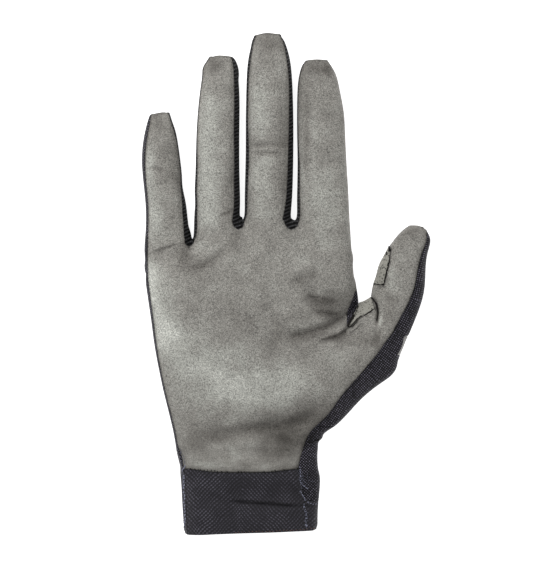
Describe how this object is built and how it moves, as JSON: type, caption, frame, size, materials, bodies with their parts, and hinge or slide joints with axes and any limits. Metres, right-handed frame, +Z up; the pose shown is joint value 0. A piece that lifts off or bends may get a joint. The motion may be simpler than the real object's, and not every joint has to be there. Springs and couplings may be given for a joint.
{
  "type": "sport glove",
  "caption": "Light full-finger sport glove for the right hand, lying palm up: suede palm, mesh back, ribbed finger sides and a knit pull-on cuff, hollow from cuff to fingertips.",
  "frame": {"origin": "middle of the glove's footprint, on the surface that it lies on", "axes": "+Y towards the fingertips, +X towards the thumb, +Z up out of the palm"},
  "size_m": [0.1386, 0.2408, 0.0226],
  "materials": {
    "suede": "matt brushed synthetic suede with a fine salt-and-pepper speckle",
    "patch_suede": "matt pebbled synthetic suede",
    "wipe_cloth": "soft matt brushed cloth",
    "back_mesh": "coarse dotted knit mesh",
    "rib_knit": "fine diagonal rib knit",
    "cuff_knit": "stretch herringbone knit",
    "seam_thread": "twisted sewing thread"
  },
  "bodies": {
    "root": {"palm_panel": "suede", "back_panel": "back_mesh", "fourchette_pinky_ring": "rib_knit", "fourchette_ring_middle": "rib_knit", "fourchette_middle_index": "rib_knit", "thumb_back_panel": "back_mesh", "thumb_side_patch": "patch_suede", "thumb_crotch_patch": "patch_suede", "thumb_wipe_patch": "wipe_cloth", "cuff_front": "cuff_knit", "cuff_side_gusset": "back_mesh", "cuff_back": "cuff_knit"}
  },
  "joints": []
}
